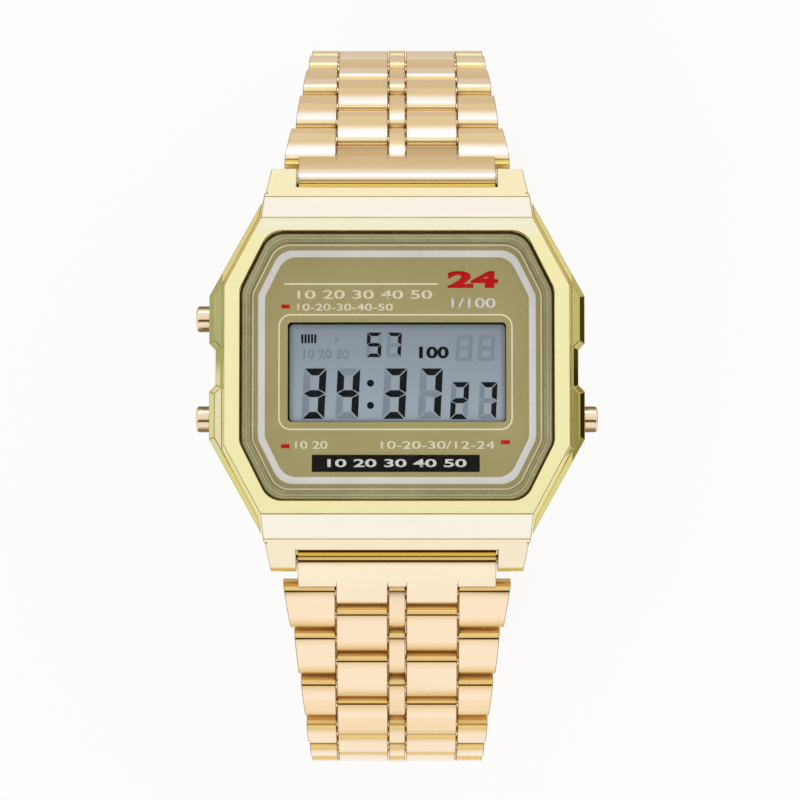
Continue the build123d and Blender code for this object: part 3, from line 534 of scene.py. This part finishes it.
def makeFloor():
    shape = bmesh.new()
    bmesh.ops.create_grid(shape, x_segments=8, y_segments=8, size=floorLook["reach"])
    bmesh.ops.translate(shape, verts=shape.verts, vec=(0, 0, -floorLook["drop"]))
    mesh = bpy.data.meshes.new("floor")
    shape.to_mesh(mesh)
    shape.free()
    material, start = startFinish("floorCard")
    place = start.node("ShaderNodeTexCoord").out("Object")
    cloud = place.noise(floorLook["clouds"], 3.0)
    colour = (cloud * 0.3).mix(floorLook["colour"], floorLook["shade"])
    roughness = floorLook["roughness"] + cloud * 0.1
    card = start.node("ShaderNodeBsdfPrincipled", {}, {"Base Color": colour, "Roughness": roughness})
    ray = start.node("ShaderNodeLightPath")
    # Painted reflection: a tan glow on the floor's 12 o'clock side, for mirrored rays only.
    behind = place.axis("Y").fade(*floorLook["behindFrom"]) * ray.out("Is Glossy Ray")
    glow = start.node("ShaderNodeEmission", {}, {"Color": behind.mix(fullWhite, floorLook["behind"]),
                                                 "Strength": 1.0})
    share = seenStraight(ray) * floorLook["selfWhite"] + ray.out("Is Glossy Ray") * floorLook["mirrorWhite"]
    surface = start.node("ShaderNodeMixShader", {}, {0: share, 1: card, 2: glow})
    start.node("ShaderNodeOutputMaterial", {}, {"Surface": surface})
    newPiece(mesh, material)


tentLook = {
    "roomLight": 0.75, "overhead": paint(250, 247, 232), "opening": paint(72, 48, 22),
    "nearWall": paint(250, 245, 234), "farWall": paint(236, 226, 204),
    "sideWall": paint(230, 230, 202), "rightWall": paint(84, 74, 28),
    # Where each part of the tent fades in, as shares of the direction along X, Y and Z.
    "far": (0.0, 0.7), "side": (0.75, 0.95), "right": (0.93, 0.98), "wallTop": (0.07, 0.2),
    "overheadFrom": (0.86, 0.97), "openingNear": (-0.1, -0.16), "openingFar": (-0.38, -0.6),
    "openingUp": (0.4, 0.6),
}


def makeWorld():
    world = bpy.data.worlds.new("lightTent")
    scene.world = world
    world.use_nodes = True
    world.node_tree.nodes.clear()
    start = Wire(world.node_tree)
    way = start.node("ShaderNodeTexCoord").out("Generated")
    height, along, across = way.axis("Z"), way.axis("Y"), way.axis("X")
    wall = along.fade(*tentLook["far"]).mix(tentLook["nearWall"], tentLook["farWall"])
    side = across.fade(*tentLook["right"]).mix(tentLook["sideWall"], tentLook["rightWall"])
    wall = across.size().fade(*tentLook["side"]).mix(wall, side)
    tent = height.fade(*tentLook["wallTop"]).mix(wall, fullWhite)
    tent = height.fade(*tentLook["overheadFrom"]).mix(tent, tentLook["overhead"])
    opening = along.fade(*tentLook["openingNear"]) * (1.0 - along.fade(*tentLook["openingFar"]))
    tent = (opening * height.fade(*tentLook["openingUp"])).mix(tent, tentLook["opening"])
    ray = start.node("ShaderNodeLightPath")
    room = start.node("ShaderNodeBackground", {}, {"Color": fullWhite, "Strength": tentLook["roomLight"]})
    plain = start.node("ShaderNodeBackground", {}, {"Color": fullWhite, "Strength": 1.0})
    mirrored = start.node("ShaderNodeBackground", {}, {"Color": tent, "Strength": 1.0})
    lit = start.node("ShaderNodeMixShader", {}, {0: ray.out("Is Glossy Ray"), 1: room, 2: mirrored})
    surface = start.node("ShaderNodeMixShader", {}, {0: seenStraight(ray), 1: lit, 2: plain})
    start.node("ShaderNodeOutputWorld", {}, {"Surface": surface})


lampLooks = {
    "keyLamp": {"place": (-0.25, -0.45, 0.75), "size": 0.6, "height": 0.6, "power": 1.9, "mirrored": False},
    "fillLamp": {"place": (0.55, 0.2, 0.6), "size": 0.5, "height": 0.5, "power": 0.8, "mirrored": False},
    "backLamp": {"place": (0.0, 0.5, 0.27), "size": 0.9, "height": 0.16, "power": 0.62, "mirrored": True},
}


def makeLamps():
    for name, look in lampLooks.items():
        lamp = bpy.data.lights.new(name, "AREA")
        lamp.shape, lamp.energy = "RECTANGLE", look["power"]
        lamp.size, lamp.size_y = look["size"], look["height"]
        holder = bpy.data.objects.new(name, lamp)
        scene.collection.objects.link(holder)
        holder.location = look["place"]
        toWatch = Vector((0, 0, dialZ * mm / 2)) - Vector(look["place"])
        holder.rotation_euler = toWatch.to_track_quat("-Z", "Y").to_euler()
        holder.visible_glossy = look["mirrored"]


cameraLook = {"tilt": 3.8, "distance": 300.0, "frameWidth": 70.62, "sensor": 36.0, "aimX": 0.27,
              "aimBelowCentre": 3.08, "nearest": 10.0}


def makeCamera():
    camera = bpy.data.cameras.new("camera")
    camera.sensor_width = cameraLook["sensor"]
    camera.lens = cameraLook["sensor"] * cameraLook["distance"] / cameraLook["frameWidth"]
    camera.clip_start = cameraLook["nearest"] * mm
    holder = bpy.data.objects.new("camera", camera)
    scene.collection.objects.link(holder)
    tilt = math.radians(cameraLook["tilt"])
    aim = Vector((cameraLook["aimX"], caseY - cameraLook["aimBelowCentre"], dialZ)) * mm
    holder.location = aim + Vector((0, -math.sin(tilt), math.cos(tilt))) * cameraLook["distance"] * mm
    holder.rotation_euler = (tilt, 0, 0)
    scene.camera = holder


scene.view_settings.view_transform = "Standard"
makeFloor()
makeWorld()
makeLamps()
makeCamera()
print("studio set")


def place(piece, body, slot, replaced=None):
    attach(piece, body)
    if replaced:
        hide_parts(replaced)


def linkRun(body):
    # The pivot where a link starts and the way from there to its next pivot.
    starts = [joint["pos_m"] for joint in frame["joints"] if joint["child"] == body]
    ends = [joint["pos_m"] for joint in frame["joints"] if joint["parent"] == body]
    if not ends:
        barLow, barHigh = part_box("clasp_spring_bar")
        ends = [(barLow + barHigh) / 2]
    start = Vector(starts[0])
    return start, (Vector(ends[0]) - start).normalized()


def markAlong(shape, body):
    # Each solid of a link gets 0 at its end nearest the case and 1 at its far end.
    start, way = linkRun(body)
    layer = shape.verts.layers.float.new("along")
    waiting = set(shape.verts)
    while waiting:
        island = [waiting.pop()]
        for vertex in island:
            for edge in vertex.link_edges:
                other = edge.other_vert(vertex)
                if other in waiting:
                    waiting.remove(other)
                    island.append(other)
        places = [(vertex.co - start).dot(way) for vertex in island]
        low, span = min(places), max(places) - min(places)
        for vertex, at in zip(island, places):
            vertex[layer] = (at - low) / span


# The seams between a solid's faces are closed over seamWidth; a fold under flatAngle degrees isn't an edge.
dressRules = {"seamWidth": 0.001, "flatAngle": 0.15, "bevelSegments": 2}


def mergedCopy(node, name):
    # A solid's mesh under a new name, and the same as a shape to work on, with its seams closed.
    mesh = node.data.copy()
    mesh.name = name
    if "custom_normal" in mesh.attributes:
        mesh.attributes.remove(mesh.attributes["custom_normal"])
    mesh.materials.clear()
    shape = bmesh.new()
    shape.from_mesh(mesh)
    bmesh.ops.remove_doubles(shape, verts=shape.verts, dist=dressRules["seamWidth"] * mm)
    bmesh.ops.recalc_face_normals(shape, faces=shape.faces)
    for face in shape.faces:
        face.smooth = True
    return mesh, shape


def dress(nodeName, look):
    node = nodes[nodeName]
    mesh, shape = mergedCopy(node, nodeName + "Dressed")
    bmesh.ops.dissolve_limit(shape, angle_limit=math.radians(dressRules["flatAngle"]), verts=shape.verts,
                             edges=shape.edges, use_dissolve_boundaries=False, delimit=set())
    weights = shape.edges.layers.float.new("bevel_weight_edge")
    for edge in shape.edges:
        angle = math.degrees(edge.calc_face_angle(0))
        long = edge.calc_length() > look.get("longEdge", 0) * mm and angle > look.get("longAngle", 180)
        edge[weights] = 1.0 if angle > look["angle"] or long else 0.0
    if nodeName.startswith("link_"):
        markAlong(shape, node["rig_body"])
    shape.to_mesh(mesh)
    shape.free()
    piece = newPiece(mesh, finishes[look["finish"]])
    soft = piece.modifiers.new("softEdges", "BEVEL")
    soft.width = look["edge"] * mm
    soft.segments = dressRules["bevelSegments"]
    soft.limit_method = "WEIGHT"
    soft.use_clamp_overlap = False
    if "edgeFinish" in look:
        mesh.materials.append(finishes[look["edgeFinish"]])
        soft.material = 1
    even = piece.modifiers.new("evenShading", "WEIGHTED_NORMAL")
    even.keep_sharp = True
    place(piece, node["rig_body"], node["slotName"], nodeName)


def dressSprings():
    # Each pusher's spring is copied with its seams closed, in turned steel, in place of the original.
    for joint in frame["joints"]:
        for coil in joint.get("deforming_nodes", []):
            node = nodes[coil["node"]]
            mesh, shape = mergedCopy(node, coil["node"] + "Coiled")
            shape.to_mesh(mesh)
            shape.free()
            piece = newPiece(mesh, finishes["turnedSteel"])
            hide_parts(coil["node"])
            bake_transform(piece)


# Edges over an angle get a rounding as wide as edge; a long edge has a lower angle.
dressLooks = {
    "case_body": {"finish": "caseGold", "edgeFinish": "caseEdgePaintedShade", "edge": 0.07, "angle": 14, "longAngle": 7,
                  "longEdge": 8},
    "case_back": {"finish": "brushedSteel", "edge": 0.08, "angle": 30},
    "case_back_screws": {"finish": "turnedSteel", "edge": 0.04, "angle": 30},
}
for nodeName in nodes:
    if nodeName.startswith("pusher_") and "spring" not in nodeName and "seals" not in nodeName:
        dressLooks[nodeName] = {"finish": "pusherGold", "edge": 0.07, "angle": 30}
    if nodeName.startswith("link_"):
        dressLooks[nodeName] = {"finish": "braceletGold", "edgeFinish": "linkEdgePaintedShade", "edge": 0.07, "angle": 30}
    if nodeName.startswith("end_piece"):
        dressLooks[nodeName] = {"finish": "endPieceGold", "edgeFinish": "linkEdgePaintedShade", "edge": 0.05, "angle": 30}
    if nodeName == "clasp_cover":
        dressLooks[nodeName] = {"finish": "plainBraceletGold", "edge": 0.07, "angle": 30}
    if nodeName.endswith("_blade"):
        dressLooks[nodeName] = {"finish": "brushedSteel", "edge": 0.06, "angle": 30}
for nodeName, look in dressLooks.items():
    dress(nodeName, look)
dressSprings()
print("dressed pieces:", len(dressLooks))


def finishPrint(shape, name, finish, slot, z, thickness):
    # Flat faces get their thickness, upwards from z, and the piece rides on the head.
    faces = shape.faces[:]
    raised = bmesh.ops.extrude_face_region(shape, geom=faces, use_keep_orig=True)
    points = [part for part in raised["geom"] if isinstance(part, bmesh.types.BMVert)]
    bmesh.ops.translate(shape, verts=points, vec=(0, 0, thickness))
    bmesh.ops.recalc_face_normals(shape, faces=shape.faces)
    bmesh.ops.translate(shape, verts=shape.verts, vec=(0, caseY, z))
    bmesh.ops.scale(shape, verts=shape.verts, vec=(mm, mm, mm))
    mesh = bpy.data.meshes.new(name)
    shape.to_mesh(mesh)
    shape.free()
    place(newPiece(mesh, finishes[finish]), "head", slot)


def addPatch(shape, points):
    shape.faces.new([shape.verts.new((x, y, 0)) for x, y in points])


def addBar(shape, left, right, top, bottom):
    addPatch(shape, [(left, bottom), (right, bottom), (right, top), (left, top)])


cornerSegments = 6


def addLoop(shape, corners):
    # Corners are x, y and how far from the corner its rounding starts.
    points = [shape.verts.new((x, y, 0)) for x, y, _ in corners]
    for step in range(len(points)):
        shape.edges.new((points[step - 1], points[step]))
    for point, (_, _, cut) in zip(points, corners):
        if cut > 0:
            bmesh.ops.bevel(shape, geom=[point], offset=cut, segments=cornerSegments, profile=0.5,
                            affect="VERTICES", material=-1)


def addRing(shape, outer, inner):
    ring = bmesh.new()
    addLoop(ring, outer)
    addLoop(ring, inner)
    bmesh.ops.bridge_loops(ring, edges=ring.edges[:])
    mesh = bpy.data.meshes.new("ring")
    ring.to_mesh(mesh)
    ring.free()
    shape.from_mesh(mesh)
    bpy.data.meshes.remove(mesh)


dialLook = {"halfWidth": 13.9, "halfLength": 11.95, "cornerWidth": 2.57, "cornerLength": 5.15,
            "endRadius": 1.9, "sideRadius": 1.6, "radiusShrink": 0.15}


def dialCorners(inset):
    # The long octagon of the opening, drawn in by an inset.
    lean = math.atan2(dialLook["cornerWidth"], dialLook["cornerLength"])
    turn = math.pi / 2 - lean
    sideX = dialLook["halfWidth"] - inset
    endY = dialLook["halfLength"] - inset
    sideY = dialLook["halfLength"] - dialLook["cornerLength"] - inset * math.tan(lean / 2)
    endX = dialLook["halfWidth"] - dialLook["cornerWidth"] - inset * math.tan(turn / 2)
    sideCut = (dialLook["sideRadius"] - inset * dialLook["radiusShrink"]) * math.tan(lean / 2)
    endCut = (dialLook["endRadius"] - inset * dialLook["radiusShrink"]) * math.tan(turn / 2)
    quarter = [(sideX, sideY, sideCut), (endX, endY, endCut)]
    left = [(-x, y, cut) for x, y, cut in reversed(quarter)]
    top = quarter + left
    return top + [(-x, -y, cut) for x, y, cut in top]


def boxCorners(left, right, top, bottom, radius):
    return [(right, top, radius), (left, top, radius), (left, bottom, radius), (right, bottom, radius)]


def addNumbers(shape, words, left, right, top, bottom, weight):
    # Plain type is made a mesh first, and then fitted to its box.
    text = bpy.data.curves.new("numbers", "FONT")
    text.body, text.offset = words, weight
    holder = bpy.data.objects.new("numbers", text)
    scene.collection.objects.link(holder)
    bpy.context.view_layer.update()
    mesh = bpy.data.meshes.new_from_object(holder)
    xs = [vertex.co.x for vertex in mesh.vertices]
    ys = [vertex.co.y for vertex in mesh.vertices]
    wide, high = max(xs) - min(xs), max(ys) - min(ys)
    mesh.transform(Matrix.Translation((-min(xs), -min(ys), 0)))
    mesh.transform(Matrix.Diagonal(((right - left) / wide, (top - bottom) / high, 1, 1)))
    mesh.transform(Matrix.Translation((left, bottom, 0)))
    shape.from_mesh(mesh)
    bpy.data.objects.remove(holder)
    bpy.data.curves.remove(text)
    bpy.data.meshes.remove(mesh)


printLook = {
    "thickness": 0.012, "filmThickness": 0.006, "filmGap": 0.001, "lineWidth": 0.13,
    "creamRing": (1.0, 1.14), "whiteRing": (1.54, 2.15), "darkEdge": (0.0, 0.15), "border": (0.15, 0.9),
    "borderLines": [(0.3, 0.33), (0.5, 0.54)],
    "frame": (-10.55, 10.30, 4.72, -5.63, 1.08), "headerLine": (-10.04, 3.67, 7.48, 7.34),
    "creamNumbers": [("10 20 30 40 50", -8.87, 3.14, 6.87, 6.07, 0.016),
                     ("10-20-30-40-50", -8.87, -0.36, 5.66, 5.02, 0.012),
                     ("10 20", -9.05, -6.18, -6.6, -7.3, 0.012),
                     ("10-20-30/12-24", -1.43, 8.69, -6.6, -7.3, 0.012)],
    "whiteNumbers": [("1/100", 4.84, 8.78, 6.16, 5.27, 0.012)],
    "redNumbers": [("24", 4.48, 9.00, 8.57, 7.05, 0.05)],
    "redDashes": [(-10.30, -9.54, 5.58, 5.22), (-10.30, -9.54, -6.88, -7.24), (9.23, 10.04, -6.52, -6.88)],
    "blackBar": (-7.56, 7.35, -7.82, -9.35),
    "barNumbers": ("10 20 30 40 50", -6.18, 6.18, -8.2, -8.92, 0.022),
}


def makePrinting():
    thick = printLook["thickness"]
    line = printLook["lineWidth"]
    cream, white, red, black, onBar = (bmesh.new() for _ in range(5))
    addRing(cream, dialCorners(printLook["creamRing"][0]), dialCorners(printLook["creamRing"][1]))
    left, right, top, bottom, radius = printLook["frame"]
    addRing(cream, boxCorners(left, right, top, bottom, radius),
            boxCorners(left + line, right - line, top - line, bottom + line, radius - line))
    addBar(cream, *printLook["headerLine"])
    addRing(white, dialCorners(printLook["whiteRing"][0]), dialCorners(printLook["whiteRing"][1]))
    for dash in printLook["redDashes"]:
        addBar(red, *dash)
    for shape, kind in ((cream, "creamNumbers"), (white, "whiteNumbers"), (red, "redNumbers")):
        for numbers in printLook[kind]:
            addNumbers(shape, *numbers)
    addBar(black, *printLook["blackBar"])
    addNumbers(onBar, *printLook["barNumbers"])
    for shape, colour in ((cream, "cream"), (white, "white"), (red, "red"), (black, "black")):
        finishPrint(shape, colour + "Print", colour + "Ink", "face_print", panelTop, thick)
    finishPrint(onBar, "barPrint", "whiteInk", "face_print", panelTop + thick, thick / 2)


def makeBorder():
    # Films between the gasket and the crystal, where the gap is a hundredth of a millimetre.
    film = printLook["filmThickness"]
    filmBottom = gasketTop + printLook["filmGap"]
    edge, border, lines = (bmesh.new() for _ in range(3))
    addRing(edge, dialCorners(printLook["darkEdge"][0]), dialCorners(printLook["darkEdge"][1]))
    addRing(border, dialCorners(printLook["border"][0]), dialCorners(printLook["border"][1]))
    for outer, inner in printLook["borderLines"]:
        addRing(lines, dialCorners(outer), dialCorners(inner))
    finishPrint(edge, "edgePrint", "brownInk", "face_print", filmBottom, film)
    finishPrint(border, "borderRing", "borderPrint", "face_print", filmBottom, film)
    finishPrint(lines, "borderLinePrint", "creamInk", "face_print", filmBottom + film, film / 3)


# The segments run clockwise from the top, a to f, and g is the middle one.
segmentsOfDigit = {"0": "abcdef", "1": "bc", "2": "abged", "3": "abgcd", "4": "fgbc", "5": "afgcd",
                   "6": "afgedc", "7": "abc", "8": "abcdefg", "9": "abcdfg"}


def addDigit(lit, idle, digit, left, top, width, height, stroke):
    # Seven mitred segments; x runs right and y runs down from the cell's top left corner.
    gap, slant = displayPrint["gap"] * stroke, displayPrint["slant"]
    half, middle = stroke / 2, height / 2
    near, far = stroke, width - stroke
    upper = [(0, gap), (near, near + gap), (near, middle - half - gap), (0, middle - gap)]
    bars = {
        "a": [(gap, 0), (width - gap, 0), (far - gap, stroke), (near + gap, stroke)],
        "g": [(gap, middle), (near, middle - half), (far, middle - half), (width - gap, middle),
              (far, middle + half), (near, middle + half)],
        "f": upper,
    }
    bars["d"] = [(x, height - y) for x, y in bars["a"]]
    bars["b"] = [(width - x, y) for x, y in upper]
    bars["e"] = [(x, height - y) for x, y in upper]
    bars["c"] = [(width - x, height - y) for x, y in upper]
    for name, points in bars.items():
        points = [(left + x + (height - y) * slant, top - y) for x, y in points]
        addPatch(lit if name in segmentsOfDigit[digit] else idle, points)


displayPrint = {
    "big": [("3", -8.5), ("4", -5.5), ("3", -1.32), ("7", 1.85)],
    "bigTop": -0.1, "bigWidth": 2.02, "bigHeight": 4.5, "bigStroke": 0.62,
    "small": [("2", 4.7), ("7", 7.22)], "smallTop": -1.32, "smallWidth": 1.58, "smallHeight": 3.31,
    "smallStroke": 0.46,
    "top": [("5", -2.75), ("7", -0.98)], "topTop": 3.11, "topWidth": 1.32, "topHeight": 2.2,
    "topStroke": 0.32,
    "idle": [("8", 5.2), ("8", 7.2)], "idleTop": 2.87, "idleWidth": 1.45, "idleHeight": 2.3,
    "idleStroke": 0.32,
    "colon": [(-2.36, -1.42), (-2.36, -3.40)], "dot": 0.63,
    "hundred": ("100", 1.97, 4.61, 1.85, 0.80, 0.035),
    "faint": ("10 20 30", -8.33, -4.30, 1.59, 0.78, 0.01),
    "bars": (-8.53, 5, 0.29, 0.19, 2.95, 2.16), "bell": (-5.38, 2.57, 0.55),
    "thickness": 0.012, "gap": 0.13, "slant": 0.05,
    "mask": ((-9.74, 9.74, 4.02, -4.92, 0.3), (-9.56, 9.66, 3.82, -4.86, 0.4)), "maskLift": 0.03,
}


def makeSegments():
    lit, idle = bmesh.new(), bmesh.new()
    look = displayPrint
    for kind in ("big", "small", "top", "idle"):
        sizes = [look[kind + part] for part in ("Top", "Width", "Height", "Stroke")]
        for digit, left in look[kind]:
            addDigit(idle if kind == "idle" else lit, idle, digit, left, *sizes)
    for x, y in look["colon"]:
        bmesh.ops.create_circle(lit, cap_ends=True, segments=20, radius=look["dot"] / 2,
                                matrix=Matrix.Translation((x, y, 0)))
    addNumbers(lit, *look["hundred"])
    addNumbers(idle, *look["faint"])
    left, count, pitch, wide, top, bottom = look["bars"]
    for step in range(count):
        addBar(lit, left + step * pitch, left + step * pitch + wide, top, bottom)
    x, y, size = look["bell"]
    addPatch(idle, [(x - size / 2, y - size / 2), (x + size / 2, y - size / 2), (x + size / 4, y + size / 4),
                    (x, y + size / 2), (x - size / 4, y + size / 4)])
    # Painted shade: a thin dark ring just inside the window stands for the shade of the window's frame,
    # widest at the top and left.
    outer, inner = look["mask"]
    mask = bmesh.new()
    addRing(mask, boxCorners(*outer), boxCorners(*inner))
    maskBottom = displayTop + look["maskLift"]
    finishPrint(mask, "windowPaintedShadeRing", "blackInk", "face_print", maskBottom, look["thickness"])
    finishPrint(lit, "litSegments", "darkSegment", "display_glass", displayTop, look["thickness"])
    finishPrint(idle, "idleSegments", "idleSegment", "display_glass", displayTop, look["thickness"] / 2)


makePrinting()
makeBorder()
makeSegments()
print("printing and segments made")
